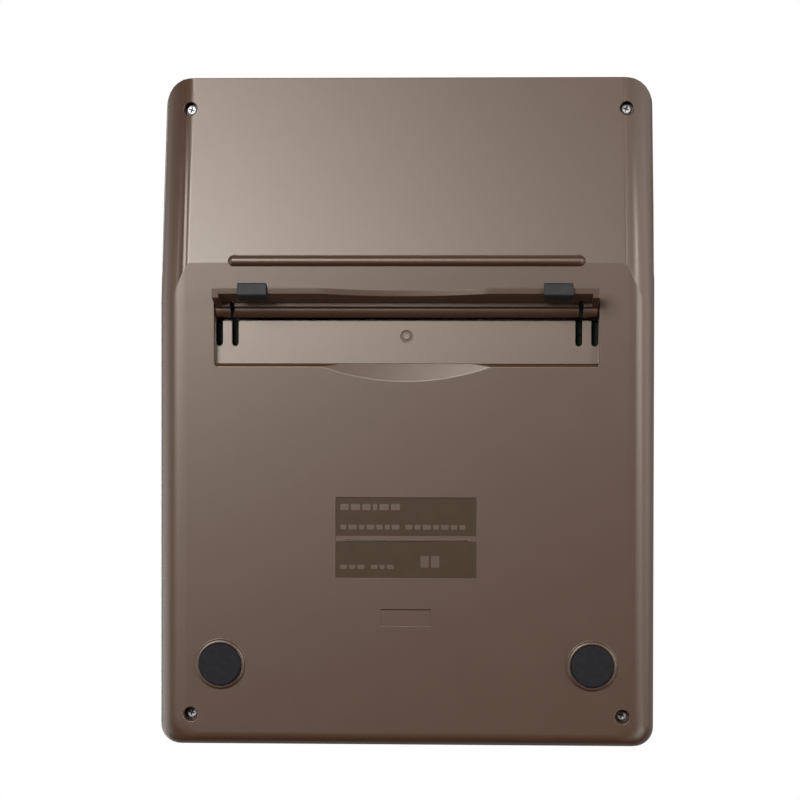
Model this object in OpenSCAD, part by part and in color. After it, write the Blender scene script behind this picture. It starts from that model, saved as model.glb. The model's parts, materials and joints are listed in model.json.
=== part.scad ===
// Desk calculator standing on its two front feet and its open kickstand.
// Every piece is drawn in the calculator's own frame: +X right, +Y towards the display, +Z out of
// the keys, the flat of the underside at z = 0 and the middle of the plan at the origin.
// on_desk() then tips that frame back until the feet and the stand meet the desk at z = 0.

/* [Case] */
// Width of the calculator
body_w = 151; // [149:0.5:154]
// Length of the calculator
body_l = 205; // [204:0.5:207]
// Wall thickness of the two case shells
wall = 2; // [1.8:0.1:2.2]
// Width of the rounded band along the sides of the underside
side_band = 8.5; // [7.5:0.5:9]
// Width of the rounded band along the front of the underside
front_band = 4.5; // [4:0.5:5.5]
// Height of the seam between the two case shells above the underside
seam_z = 8; // [8:0.1:8.3]
// Corner radius at the front
front_corner = 6; // [5:0.5:7]
// Corner radius at the rear
rear_corner = 7.7; // [7:0.1:8.5]
// Where the underside starts to slope up
crease_y = 45; // [45:0.1:46]
// Slope of the rear part of the underside, in degrees
rear_slope = 13.4; // [12.5:0.1:14]
// Height of the key deck above the underside
deck_z = 16; // [16:0.1:16.5]
// Tilt of the display head, in degrees
head_tilt = 20; // [19:0.5:21]

/* [Kickstand] */
// Hinge axis, distance behind the middle of the plan
hinge_y = 30.6; // [30.5:0.1:30.7]
// Hinge axis, depth inside the underside
hinge_z = 3; // [2.95:0.05:3.05]
// Length of the stand from its hinge axis to its free edge
stand_reach = 14.7; // [14.2:0.1:14.8]
// Width of the stand
stand_w = 116.2; // [115.6:0.2:116.4]
// Opening angle of the stand, from folded flat
stand_open = 104; // [103:0.5:104]
// Diameter of the moulded hinge pins
pin_d = 3; // [2.6:0.1:3]

/* [Keys] */
// Distance between key columns
pitch_x = 23.3; // [23.2:0.1:23.4]
// Distance between key rows
pitch_y = 22.4; // [22.3:0.1:22.6]
// Key width at the deck
key_w = 18.6; // [18:0.1:18.7]
// Key length at the deck
key_l = 17.6; // [17:0.1:17.8]
// Height of the key tops above the deck
key_rise = 5.4; // [4:0.1:6]
// Travel of a key
key_travel = 1.6; // [1.2:0.1:1.6]
// Travel of a selector switch each way
switch_travel = 4; // [3:0.5:4]

/* [Feet and screws] */
// Diameter of the round rubber feet
foot_d = 12.8; // [12:0.1:13]
// How far the round feet stand out below the underside
foot_drop = 2.4; // [2:0.1:2.6]
// Diameter of the screw wells
well_d = 4.3; // [4:0.1:4.6]
// Diameter of the case screw heads
head_d = 3; // [2.8:0.1:3.4]

/* [Hidden] */
half_w = body_w / 2;
half_l = body_l / 2;
tiny = 0.01;
far = 130;

// Superelliptic rounding of the flat part and plain elliptic rounding of the sloped part
flat_power = 2.6;
slope_power = 1.4;
slope_band_w = side_band + 0.93;
slope_band_h = seam_z + 0.7;
band_steps = 8;

// Inner faces of the case
cavity_inset = wall + 0.4;
cavity_x = half_w - cavity_inset;
cavity_y = half_l - cavity_inset;
deck_inner_z = deck_z - wall;

// Display head: its sloping face starts at (head_y, head_z) and is head_len long
head_y = 45.5;
head_z = deck_z + 4;
head_len = 58.5;

// Rounding of the head's and the deck's upper edges: inset and depth of each level
head_edges = [[2.2, -tiny], [1.1, -0.35], [0.35, -1.1], [0, -2.3]];
deck_edges = [[0, seam_z - 1 - deck_z], [0.6, -2.8], [1.1, -1.4], [2, -0.45], [3.4, -tiny]];

// Stand recess, as seen from below
recess_x = 58.5;
recess_front = 13.3;
recess_rear = 34.45;
recess_depth = 3.4;
trough_front = 27.2;
trough_depth = 6;
recess_wall = 1.4;
recess_lip = 1;
recess_corner = 1.3;
recess_rear_corner = 0.4;
slot_front = 19.5;

// Mark of the moulding gate on the recess floor: a ring groove round a pin
gate_y = 22.5;
gate_d = 3.9;
gate_pin_d = 1.8;
gate_depth = 0.6;

// Bar along the crease, sunken label and the small pocket in front of it
ridge_x = 52.6;
ridge_r = 1.55;
ridge_back = 0.4;
ridge_z = 0.25;
label_y = -38.7;
label_w = 42.7;
label_l = 24.3;
label_depth = 0.3;
label_line_x = -19.2;
label_line_y = -1.1;
label_line_w = 37.6;
pocket_y = -63.2;
pocket_w = 15.2;
pocket_l = 5.3;

// Fingertip dish in front of the recess: a big cylinder whose axis dips towards the recess
dish_front = 8.8;
dish_slope = 19.6;
dish_r = 222;

// Stand: faces in its folded position, and the places across its width
stand_skin = 0.15;
stand_panel = 1.8;
stand_block_z = 3.1;
barrel_r = 2.3;
tail_reach = 1.9;
block_reach = 4;
block_x = 52.3;
tab_x = 53.6;
rail_w = 2;
pin_x = stand_w / 2 + 2.2;
dip_x = 25.3;
dip_depth = 2.8;

// Rubber shoes on the stand
shoe_x = 45.9;
shoe_w = 8.8;
shoe_end = 1.3;
shoe_out = 1.1;
shoe_in = 2.9;
shoe_tail = 6;
shoe_r = 0.6;

// Round front feet
foot_x = 56.5;
foot_y = -77.3;
foot_r = 0.6;
collar_d = 15;
collar_h = 1.2;

// Case screws: the rear pair stands a little further apart than the front pair
screw_front_x = 65.7;
screw_rear_x = 67.2;
screw_y = 92.8;
well_depth = 5.5;
screw_floor = 1.2;
rear_rise = 11.2;
shank_d = 1.7;
shank_l = 7;
boss_r = 3;

// Board and membrane heights
board_z = 8.4;
board_t = 1.6;
board_x = 68;
board_front = -88;
board_rear = 40;
sheet_z = board_z + board_t;
sheet_t = 0.8;
dome_h = 0.6;
flange_z = sheet_z + sheet_t + dome_h + key_travel + 0.1;
post_d = 2.8;
post_bore = 1.24;
post_x = 2 * pitch_x;
post_rows = [0.5, 3.5];

// Keys
row_y = -79.5;
flange = 0.6;
flange_top = 13.8;
key_gap = 0.3;
cap_shrink_x = 3;
cap_shrink_y = 3.4;

// Selector switches
switch_y = 30.5;
decimal_x = -44;
rounding_x = -12;
knob_w = 7;
knob_l = 4.8;
knob_top = deck_z + 2.6;
knob_rib = 0.5;
knob_rib_pitch = 1.1;
slider_w = 19;
slider_l = 8.4;
slider_z = 12.9;
slider_top = 13.7;
wiper_w = 10;
wiper_l = 6;
wiper_t = 0.4;
wiper_leg_x = 4.4;
wiper_leg_l = 3;

// Windows on the display head, along its sloping face
window_x = 63;
window_low = 8;
window_high = 38;
sun_x = 40;
sun_half = 20;
sun_low = 42;
sun_high = 54;
window_t = 1.1;
ledge = 2.5;

// Liquid-crystal panel and its frame, behind the display window
lcd_x = 54.5;
lcd_low = 12;
lcd_high = 34;
lcd_back = -5.25;
lcd_t = 2.15;
lcd_view_x = 52;
lcd_view_in = 1.5;
lcd_rim_x = 62;
lcd_rim = 3;
ribbon_w = 60;
ribbon_t = 0.3;

// Solar cell and its leads
sun_cell_w = 38;
sun_cell_l = 10;
sun_cell_t = 1.1;
sun_cell_back = -3.3;
lead_x = [50, 52.5];
lead_r = 0.5;
lead_path = [[90, 31.4], [80, 20], [52, 12.5], [39, 10.6]];

// Face plate
plate_t = 0.5;
plate_x = 69.3;
plate_front = -95.5;
plate_rear = 41.5;

// Button cell
cell_x = 40;
cell_y = -50;
cell_z = 4.7;
cell_r = 5.8;
cell_t = 3.05;
cell_seat_z = 4.4;
cell_wall = 1.6;
contact_w = 4;
contact_t = 0.26;
contact_z = cell_seat_z + 0.02;
spring_w = 6;
spring_z = 7.8;
spring_t = 0.25;

// How far the calculator leans back, from the rounded edges that touch the desk
function turned(dy, dz) = [
    dy * cos(stand_open) - dz * sin(stand_open),
    dy * sin(stand_open) + dz * cos(stand_open)
];
shoe_touch = turned(shoe_r - stand_reach - shoe_end, shoe_in - shoe_r - hinge_z);
touch_y = hinge_y + shoe_touch[0];
touch_z = hinge_z + shoe_touch[1];
front_touch_y = foot_y - foot_d / 2 + foot_r;
front_touch_z = foot_r - foot_drop;
desk_tilt = atan((front_touch_z - touch_z) / (touch_y - front_touch_y));
desk_z = foot_r - front_touch_y * sin(desk_tilt) - front_touch_z * cos(desk_tilt);

// Puts the origin under the middle of the leaning box: its front is the seam of the front edge
// and its rear is the sloping underside's rear edge
rear_edge_z = (half_l - crease_y) * tan(rear_slope);
box_front = -half_l * cos(desk_tilt) - seam_z * sin(desk_tilt);
box_rear = half_l * cos(desk_tilt) - rear_edge_z * sin(desk_tilt);
desk_y = -(box_front + box_rear) / 2;

// Keys: name, column, row, rows tall, kind
KEYS = [
    ["key_mark_up", 5, 3, 1, 2], ["key_grand_total", 0, 4, 1, 2], ["key_memory_clear", 1, 4, 1, 2],
    ["key_memory_recall", 2, 4, 1, 2], ["key_memory_minus", 3, 4, 1, 2],
    ["key_memory_plus", 4, 4, 1, 2], ["key_square_root", 5, 4, 1, 2],
    ["key_backspace", 0, 3, 1, 2], ["key_7", 1, 3, 1, 1], ["key_8", 2, 3, 1, 1],
    ["key_9", 3, 3, 1, 1], ["key_percent", 4, 3, 1, 2],
    ["key_sign", 0, 2, 1, 2], ["key_4", 1, 2, 1, 1], ["key_5", 2, 2, 1, 1],
    ["key_6", 3, 2, 1, 1], ["key_times", 4, 2, 1, 2], ["key_divide", 5, 2, 1, 2],
    ["key_clear", 0, 1, 1, 3], ["key_1", 1, 1, 1, 1], ["key_2", 2, 1, 1, 1],
    ["key_3", 3, 1, 1, 1], ["key_minus", 5, 1, 1, 2],
    ["key_all_clear", 0, 0, 1, 3], ["key_0", 1, 0, 1, 1], ["key_00", 2, 0, 1, 1],
    ["key_point", 3, 0, 1, 1], ["key_plus", 4, 0, 2, 2], ["key_equals", 5, 0, 1, 2]
];
KEY_COLOURS = ["black", "#ece6da", "#6f5f54", "#b5532f"];

// ---- Shared shapes ----

// Quarter arc of a plan outline, from angle a
function corner_arc(cx, cy, r, a, steps = 6) =
    [for (i = [0:steps]) [cx + r * cos(a + 90 * i / steps), cy + r * sin(a + 90 * i / steps)]];

// Outline from y0 to y1, round at its corners
function outline(hw, y0, y1, rf, rr) = concat(
    corner_arc(hw - rr, y1 - rr, rr, 0), corner_arc(rr - hw, y1 - rr, rr, 90),
    corner_arc(rf - hw, y0 + rf, rf, 180), corner_arc(hw - rf, y0 + rf, rf, 270));

// Inset and height of step i of a rounded band, as a superellipse of power p
function band_in(w, p, i) = w * (1 - pow(sin(90 * i / band_steps), 2 / p));
function band_up(h, p, i) = h * (1 - pow(cos(90 * i / band_steps), 2 / p));

module slab(hw, y0, y1, rf, rr, z0, z1) {
    translate([0, 0, z0]) linear_extrude(z1 - z0) polygon(outline(hw, y0, y1, rf, rr));
}

// Rounded rectangle centred on (cx, cy)
module pad(w, l, r, z0, z1, cx = 0, cy = 0) {
    translate([cx, cy, 0]) slab(w / 2, -l / 2, l / 2, r, r, z0, z1);
}

// Side outline (y, z) drawn across the width w
module across(w) {
    rotate([90, 0, 90]) linear_extrude(w, center = true) children();
}

// Front outline (x, z) drawn along the length l
module along(l) {
    rotate([90, 0, 0]) linear_extrude(l, center = true) children();
}

// Thin corner discs of one level of a hull
module level(hw, y0, y1, r, z) {
    for (x = [r - hw, hw - r], y = [y0 + r, y1 - r]) {
        translate([x, y, z]) cylinder(r = r, h = tiny, $fn = 32);
    }
}

module rod_x(r, x0, x1, y, z) {
    translate([x0, y, z]) rotate([0, 90, 0]) cylinder(r = r, h = x1 - x0, $fn = 48);
}

// Foot of a case screw's well, on one side of the calculator and at that rise
module at_screw(side, rise) {
    translate([side * (rise > 0 ? screw_rear_x : screw_front_x), rise > 0 ? screw_y : -screw_y, rise])
        children();
}

module on_desk() {
    translate([0, desk_y, desk_z]) rotate([desk_tilt, 0, 0]) children();
}

// Frame of the display head's sloping face: x, along the slope, out of the face
module on_head() {
    translate([0, head_y, head_z]) rotate([head_tilt, 0, 0]) children();
}

// ---- Case ----

// Everything below the seam
module under_seam() {
    across(2 * far) polygon([
        [-far, -far], [far, -far], [far, seam_z + (far - crease_y) * tan(rear_slope)],
        [crease_y, seam_z], [-far, seam_z]
    ]);
}

// Flat-bottomed body with rounded sides and front
module belly() {
    hull() {
        for (i = [0:band_steps]) {
            level(half_w - band_in(side_band, flat_power, i),
                band_in(front_band, flat_power, i) - half_l, far,
                front_corner, band_up(seam_z, flat_power, i));
        }
        level(half_w, -half_l, far, front_corner, far / 3);
    }
}

// Cross outline of the sloping part of the underside
function slope_points() = concat(
    [for (i = [band_steps:-1:0]) [half_w - band_in(slope_band_w, slope_power, i),
        band_up(slope_band_h, slope_power, i)]],
    [for (i = [0:band_steps]) [band_in(slope_band_w, slope_power, i) - half_w,
        band_up(slope_band_h, slope_power, i)]],
    [[-half_w, far], [half_w, far]]);

module sloping_body() {
    translate([0, crease_y, 0]) rotate([rear_slope, 0, 0]) along(4 * far) polygon(slope_points());
}

module rear_outer() {
    intersection() {
        belly();
        sloping_body();
        slab(half_w, -half_l, half_l, front_corner, rear_corner, -1, far / 2);
        under_seam();
    }
}

// Cross outline of the space inside the rear case
module cavity_section() {
    polygon([
        [-cavity_x, far], [-cavity_x, wall + 3], [4.3 - cavity_x, wall],
        [cavity_x - 4.3, wall], [cavity_x, wall + 3], [cavity_x, far]
    ]);
}

module rear_cavity() {
    intersection() {
        slab(cavity_x, -cavity_y, cavity_y, front_corner - 2, rear_corner - 2, 0, 40);
        along(4 * far) cavity_section();
        translate([0, crease_y, 0]) rotate([rear_slope, 0, 0]) along(4 * far) cavity_section();
    }
}

// Walls that stand inside the rear case: the stand's tub and the screw bosses
module rear_inner() {
    translate([-recess_x - 2.4, recess_front - 1.6, 0])
        cube([2 * recess_x + 4.8, recess_rear - recess_front + 3.2, trough_depth + recess_wall]);
    for (side = [-1, 1], rise = [0, rear_rise]) {
        at_screw(side, rise) cylinder(r = boss_r + 0.4, h = well_depth + screw_floor, $fn = 48);
    }
}

// Hollow of the stand recess, chamfered along its front lip
module recess() {
    intersection() {
        slab(recess_x, recess_front, recess_rear, recess_corner, recess_rear_corner, -2, 20);
        across(2 * far) polygon([
            [recess_front, -3], [recess_front, 0], [recess_front + recess_lip, recess_lip],
            [recess_front + recess_lip, recess_depth], [trough_front, recess_depth],
            [trough_front, trough_depth], [recess_rear, trough_depth], [recess_rear, -3]
        ]);
    }
}

// Round-ended slot through the recess floor
module floor_slot(cx, w) {
    translate([cx, 0, 0]) slab(w / 2, slot_front, trough_front + 1, w / 2 - tiny, 0.1, 1, far / 4);
}

// Wide shallow dish in the recess's front lip, for a fingertip
module finger_dish() {
    translate([0, dish_front, 0]) rotate([dish_slope - 90, 0, 0]) translate([0, dish_r, -4])
        cylinder(r = dish_r, h = 10.6, $fn = 360);
}

module screw_wells() {
    for (side = [-1, 1], rise = [0, rear_rise]) {
        at_screw(side, rise) {
            translate([0, 0, -3]) cylinder(d = well_d, h = well_depth + 3, $fn = 48);
            cylinder(d = shank_d + 0.2, h = well_depth + screw_floor + 1, $fn = 32);
        }
    }
}

module foot_collars() {
    for (x = [-foot_x, foot_x]) {
        translate([x, foot_y, -collar_h]) cylinder(d = collar_d, h = collar_h + 1, $fn = 64);
    }
}

// Half-round bar along the crease
module ridge_bar() {
    hull() for (x = [-ridge_x, ridge_x]) {
        translate([x, crease_y + ridge_back, ridge_z]) sphere(r = ridge_r, $fn = 32);
    }
}

// Sunken plate with a line left standing across it, and a small pocket in front of it
module label_relief() {
    translate([0, label_y, 0]) difference() {
        translate([-label_w / 2, -label_l / 2, -1]) cube([label_w, label_l, 1 + label_depth]);
        translate([label_line_x, label_line_y, -0.1]) cube([label_line_w, 0.5, 1]);
    }
    translate([-pocket_w / 2, pocket_y - pocket_l / 2, -1]) cube([pocket_w, pocket_l, 1.4]);
}

module rear_case() on_desk() color("#6a5546") {
    difference() {
        union() {
            difference() {
                rear_outer();
                difference() {
                    rear_cavity();
                    rear_inner();
                }
            }
            foot_collars();
            ridge_bar();
        }
        recess();
        for (s = [-1, 1]) {
            floor_slot(s * block_x + s * 0.1, 2.2);
            floor_slot(s * (recess_x - 1.2), 2.38);
        }
        translate([0, gate_y, recess_depth - 1]) difference() {
            cylinder(d = gate_d, h = 1 + gate_depth, $fn = 48);
            cylinder(d = gate_pin_d, h = 3, $fn = 32);
        }
        rod_x(pin_d / 2 + 0.05, -pin_x - 0.15, pin_x + 0.15, hinge_y, hinge_z);
        finger_dish();
        screw_wells();
        for (x = [-foot_x, foot_x]) {
            translate([x, foot_y, -5]) cylinder(d = foot_d + 0.1, h = 5.2, $fn = 64);
        }
        label_relief();
    }
}

// Deck part of the front case: rounded along its top edges
module deck_block() {
    hull() for (edge = deck_edges) {
        level(half_w - edge[0], edge[0] - half_l, 56, front_corner, deck_z + edge[1]);
    }
}

// Corner discs of the display head's face, at height n out of it
module head_level(inset, n) {
    for (s = [-1, 1]) {
        translate([s * (half_w - 1 - inset - 4), inset + 4, n])
            cylinder(r = 4, h = tiny, $fn = 32);
        translate([s * (half_w - 1 - inset - rear_corner), head_len - inset - rear_corner, n])
            cylinder(r = rear_corner, h = tiny, $fn = 32);
    }
}

module head_block() {
    hull() {
        on_head() for (edge = head_edges) head_level(edge[0], edge[1]);
        for (s = [-1, 1]) {
            translate([s * (half_w - 1), 43.4, seam_z - 2]) cylinder(r = 1, h = tiny, $fn = 24);
            translate([s * (half_w - rear_corner), half_l - rear_corner, seam_z])
                cylinder(r = rear_corner, h = rear_edge_z + 0.8, $fn = 32);
        }
    }
}

// Space inside the front case
module front_cavity() {
    inner_face = -wall / cos(head_tilt);
    run = half_l - head_y - cavity_inset;
    intersection() {
        slab(cavity_x - 1, 1 - cavity_y, cavity_y - 1, front_corner - 2, rear_corner - 2, 0, 60);
        across(2 * far) polygon([
            [-far, 0], [far, 0], [far, seam_z + 10],
            [cavity_y, head_z + inner_face + run * tan(head_tilt)],
            [head_y + 1.5, head_z + inner_face + 1.5 * tan(head_tilt)],
            [head_y + 0.6, deck_inner_z], [-far, deck_inner_z]
        ]);
    }
}

// Screw bosses of the front case, above the seam
module front_inner() {
    for (side = [-1, 1]) {
        at_screw(side, 0) translate([0, 0, well_depth + screw_floor])
            cylinder(r = boss_r, h = deck_z - 8, $fn = 48);
        at_screw(side, rear_rise) translate([0, 0, well_depth + screw_floor])
            cylinder(r = boss_r, h = 40, $fn = 48);
    }
    for (x = [-post_x, 0, post_x], r = post_rows) {
        translate([x, row_y + r * pitch_y, sheet_z]) cylinder(d = post_d, h = 5, $fn = 32);
    }
}

// Bores of the bosses, open from below
module front_bores() {
    for (side = [-1, 1], rise = [0, rear_rise]) {
        at_screw(side, rise) cylinder(d = shank_d + 0.04, h = 13.2, $fn = 32);
    }
    for (x = [-post_x, 0, post_x], r = post_rows) {
        translate([x, row_y + r * pitch_y, 0]) cylinder(d = post_bore, h = 13.4, $fn = 32);
    }
}

function key_x(col) = (col - 2.5) * pitch_x;
function key_y(row, tall) = row_y + (row + (tall - 1) / 2) * pitch_y;
function key_span(tall) = key_l + (tall - 1) * pitch_y;

// Key openings and switch slots, through the deck and the face plate
module deck_openings(r, z0, z1) {
    for (k = KEYS) {
        pad(key_w + 2 * key_gap, key_span(k[3]) + 2 * key_gap, r, z0, z1,
            key_x(k[1]), key_y(k[2], k[3]));
    }
    for (x = [decimal_x, rounding_x]) {
        pad(knob_w + 2 * switch_travel + 0.6, knob_l + 0.6, 0.6, z0, z1, x, switch_y);
    }
}

// Sunken seat of a window with a smaller opening through it, on the head's face
module window_cut(cx, hx, low, high) {
    mid = (low + high) / 2;
    on_head() {
        pad(2 * hx, high - low, 2, -window_t - 0.1, 5, cx, mid);
        pad(2 * (hx - ledge), high - low - 2 * ledge, 1, -wall - 3, 0, cx, mid);
    }
}

module front_case() on_desk() color("#6a5546") {
    difference() {
        union() {
            deck_block();
            head_block();
        }
        difference() {
            front_cavity();
            front_inner();
        }
        under_seam();
        front_bores();
        deck_openings(1.6, deck_inner_z - 1, deck_z + 1);
        window_cut(0, window_x, window_low, window_high);
        window_cut(sun_x, sun_half, sun_low, sun_high);
    }
    difference() {
        front_inner();
        translate([-far, -far, deck_z - 2.5]) cube([2 * far, far + 45, 40]);
        front_bores();
        on_head() translate([-far, -far, -1.9]) cube([2 * far, 3 * far, 40]);
    }
}

module face_plate() on_desk() color("#cbbd9f") {
    difference() {
        slab(plate_x, plate_front, plate_rear, 4, 2, deck_z, deck_z + plate_t);
        deck_openings(1.6, deck_z - 1, deck_z + 1);
    }
}

// ---- Display head ----

module head_window(cx, hx, low, high) {
    on_head() pad(2 * hx - 0.2, high - low - 0.2, 1.9, -window_t - 0.1, -0.1, cx, (low + high) / 2);
}

module display_window() on_desk() color("#3a4a4a") head_window(0, window_x, window_low, window_high);

module solar_window() on_desk() color("#2a2230") head_window(sun_x, sun_half, sun_low, sun_high);

module lcd_frame() on_desk() color("#2b2b2d") on_head() {
    difference() {
        translate([-lcd_rim_x, lcd_low - lcd_rim, lcd_back - 0.15])
            cube([2 * lcd_rim_x, lcd_high - lcd_low + 2 * lcd_rim, 3]);
        translate([-lcd_view_x, lcd_low + lcd_view_in, lcd_back - 1])
            cube([2 * lcd_view_x, lcd_high - lcd_low - 2 * lcd_view_in, 5]);
        translate([-lcd_x - 0.1, lcd_low - 0.1, lcd_back - 1])
            cube([2 * lcd_x + 0.2, lcd_high - lcd_low + 0.2, lcd_t + 1.05]);
    }
}

module lcd_panel() on_desk() color("#9aa58c") on_head() {
    translate([-lcd_x, lcd_low, lcd_back]) cube([2 * lcd_x, lcd_high - lcd_low, lcd_t]);
}

module display_ribbon() on_desk() color("#c9772f") {
    across(ribbon_w) polygon([
        [36, sheet_z], [41, sheet_z], [53, 12.6], [60.2, 18.9], [59.9, 19.2], [52.8, 12.6 + ribbon_t],
        [40.9, sheet_z + ribbon_t], [36, sheet_z + ribbon_t]
    ]);
}

module solar_cell() on_desk() color("#241a2c") on_head() {
    translate([sun_x - sun_cell_w / 2, sun_low + 1, sun_cell_back])
        cube([sun_cell_w, sun_cell_l, sun_cell_t]);
}

// Two wires from the solar cell down to the board
module solar_leads() on_desk() color("#b03a30") {
    for (x = lead_x, i = [0:len(lead_path) - 2]) {
        hull() for (p = [lead_path[i], lead_path[i + 1]]) {
            translate([x, p[0], p[1]]) sphere(r = lead_r, $fn = 8);
        }
    }
}

// ---- Board and keypad ----

module post_holes(d) {
    for (x = [-post_x, 0, post_x], r = post_rows) {
        translate([x, row_y + r * pitch_y, 0]) cylinder(d = d, h = 20, $fn = 32);
    }
}

module keypad_membrane() on_desk() color("#d8d4cc") {
    difference() {
        union() {
            slab(board_x - 1, board_front + 0.5, 19.5, 2, 2, sheet_z, sheet_z + sheet_t);
            for (k = KEYS) {
                translate([key_x(k[1]), key_y(k[2], k[3]), sheet_z])
                    cylinder(d = 9, h = sheet_t + dome_h, $fn = 48);
            }
        }
        post_holes(post_d + 0.4);
    }
}

module main_board() on_desk() color("#2f6b3a") {
    difference() {
        slab(board_x, board_front, board_rear, 2, 2, board_z, sheet_z);
        post_holes(1.8);
    }
}

module chip_blob() on_desk() color("#1b1b1d") {
    translate([-10, -20, board_z]) intersection() {
        translate([0, 0, 4.5]) sphere(r = 6.4, $fn = 48);
        translate([-8, -8, -2]) cube([16, 16, 2]);
    }
}

module board_capacitors() on_desk() color("#c8a23a") {
    for (x = [-34, -24]) {
        translate([x, -42, board_z - 4.4]) cylinder(d = 5, h = 4.4, $fn = 48);
    }
}

module board_resistors() on_desk() color("#c9b48a") {
    for (i = [0:3]) {
        translate([-2 + 5 * i, -44, board_z - 0.6]) cube([1.6, 3.2, 0.6]);
    }
}

module button_cell() on_desk() color("#c9ccd0") {
    translate([cell_x, cell_y, cell_z]) cylinder(r = cell_r, h = cell_t, $fn = 64);
}

module cell_holder() on_desk() color("#3a3a3c") {
    translate([cell_x, cell_y, cell_seat_z]) difference() {
        cylinder(r = cell_r + cell_wall, h = board_z - cell_seat_z, $fn = 64);
        translate([0, 0, -1]) cylinder(r = cell_r + 0.1, h = 6, $fn = 64);
        translate([-contact_w / 2 - 0.2, -12, -1]) cube([contact_w + 0.4, 12, contact_t + 1.03]);
    }
}

module cell_contact_plus() on_desk() color("#d2b060") {
    translate([cell_x - contact_w / 2, cell_y - 9.5, contact_z]) cube([contact_w, 12, contact_t]);
    translate([cell_x - contact_w / 2, cell_y - 9.8, contact_z]) cube([contact_w, 0.3, board_z - contact_z]);
}

module cell_contact_minus() on_desk() color("#d2b060") {
    translate([cell_x - spring_w / 2, cell_y - spring_w / 2, spring_z]) {
        cube([spring_w, spring_w, spring_t]);
        translate([0, 0, spring_t]) cube([1.2, spring_w, board_z - spring_z - spring_t]);
    }
}

module board_screws() on_desk() color("#c4c7cb") {
    for (x = [-post_x, 0, post_x], r = post_rows) {
        translate([x, row_y + r * pitch_y, 0]) {
            translate([0, 0, board_z - 1]) cylinder(d = 3, h = 1, $fn = 32);
            translate([0, 0, board_z - 0.5]) cylinder(d = 1.2, h = 4.9, $fn = 32);
        }
    }
}

// ---- Keys and switches ----

module key(k) on_desk() color(KEY_COLOURS[k[4]]) {
    span = key_span(k[3]);
    translate([key_x(k[1]), key_y(k[2], k[3]), 0]) {
        hull() {
            pad(key_w, span, 1.3, flange_top - 0.2, deck_z + 1.2);
            pad(key_w - cap_shrink_x * 0.7, span - cap_shrink_y * 0.7, 1.6,
                deck_z + key_rise - 0.5, deck_z + key_rise - 0.45);
            pad(key_w - cap_shrink_x, span - cap_shrink_y, 1.6,
                deck_z + key_rise - tiny, deck_z + key_rise);
        }
        pad(key_w + 2 * flange, span + 2 * flange, 1.3, flange_z, flange_top);
    }
}

module knob(cx) {
    translate([cx, switch_y, 0]) {
        pad(knob_w, knob_l, 0.5, slider_top - 0.2, knob_top);
        pad(slider_w, slider_l, 0.5, slider_z, slider_top);
        for (i = [-2:2]) {
            translate([knob_rib_pitch * i - knob_rib / 2, 0.3 - knob_l / 2, knob_top - 0.2])
                cube([knob_rib, knob_l - 0.6, 0.6]);
        }
    }
}

module wiper(cx) {
    translate([cx - wiper_w / 2, switch_y - wiper_l / 2, slider_z - wiper_t])
        cube([wiper_w, wiper_l, wiper_t]);
    for (x = [-wiper_leg_x, wiper_leg_x]) {
        translate([cx + x - wiper_t / 2, switch_y - wiper_leg_l / 2, sheet_z + 0.15])
            cube([wiper_t, wiper_leg_l, slider_z - wiper_t / 2 - sheet_z - 0.15]);
    }
}

module decimal_knob() on_desk() color("#2b2b2d") knob(decimal_x);
module rounding_knob() on_desk() color("#2b2b2d") knob(rounding_x);
module decimal_wiper() on_desk() color("#d2b060") wiper(decimal_x);
module rounding_wiper() on_desk() color("#d2b060") wiper(rounding_x);

// ---- Kickstand, feet and screws ----

// Turns a piece drawn in the stand's folded position to its open one
module opened() {
    translate([0, hinge_y, hinge_z]) rotate([stand_open, 0, 0]) translate([0, -hinge_y, -hinge_z])
        children();
}

module kickstand() on_desk() color("#5f4b3e") opened() {
    half = stand_w / 2;
    edge = hinge_y - stand_reach;
    difference() {
        union() {
            across(stand_w) polygon([
                [edge, stand_skin], [edge, stand_skin + stand_panel],
                [hinge_y - block_reach, stand_skin + stand_panel],
                [hinge_y - block_reach, stand_block_z], [hinge_y, stand_block_z],
                [hinge_y + tail_reach, stand_block_z - 1], [hinge_y + tail_reach, stand_skin]
            ]);
            rod_x(barrel_r, -half, half, hinge_y, hinge_z);
            for (s = [-1, 1]) {
                translate([s > 0 ? half - rail_w : -half, edge, stand_skin])
                    cube([rail_w, stand_reach, stand_block_z - stand_skin]);
            }
        }
        for (s = [-1, 1]) {
            translate([s > 0 ? block_x : -tab_x, hinge_y - 6, -2]) cube([tab_x - block_x, 12, 12]);
        }
        dip_r = (dip_x * dip_x + dip_depth * dip_depth) / (2 * dip_depth);
        translate([0, edge + dip_depth - dip_r, -2]) cylinder(r = dip_r, h = 8, $fn = 360);
    }
    rod_x(pin_d / 2, -pin_x, -half + 1, hinge_y, hinge_z);
    rod_x(pin_d / 2, half - 1, pin_x, hinge_y, hinge_z);
}

// Rubber shoe clipped over the stand's free edge
module stand_shoe(cx) opened() {
    edge = hinge_y - stand_reach;
    translate([cx, 0, 0]) difference() {
        across(shoe_w) polygon(concat(
            [for (a = [90:22.5:180]) [edge - shoe_end + shoe_r + shoe_r * cos(a),
                shoe_in - shoe_r + shoe_r * sin(a)]],
            [for (a = [180:22.5:270]) [edge - shoe_end + shoe_r + shoe_r * cos(a),
                shoe_r - shoe_out + shoe_r * sin(a)]],
            [[edge + shoe_tail - 1, -shoe_out], [edge + shoe_tail, 0.4 - shoe_out],
                [edge + shoe_tail, shoe_in - 0.4], [edge + shoe_tail - 0.6, shoe_in]]));
        translate([-shoe_w, edge - tiny, stand_skin - tiny])
            cube([2 * shoe_w, 2 * shoe_tail, stand_panel + 2 * tiny]);
    }
}

module stand_shoe_left() on_desk() color("#3e3e42") stand_shoe(-shoe_x);
module stand_shoe_right() on_desk() color("#3e3e42") stand_shoe(shoe_x);

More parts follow.
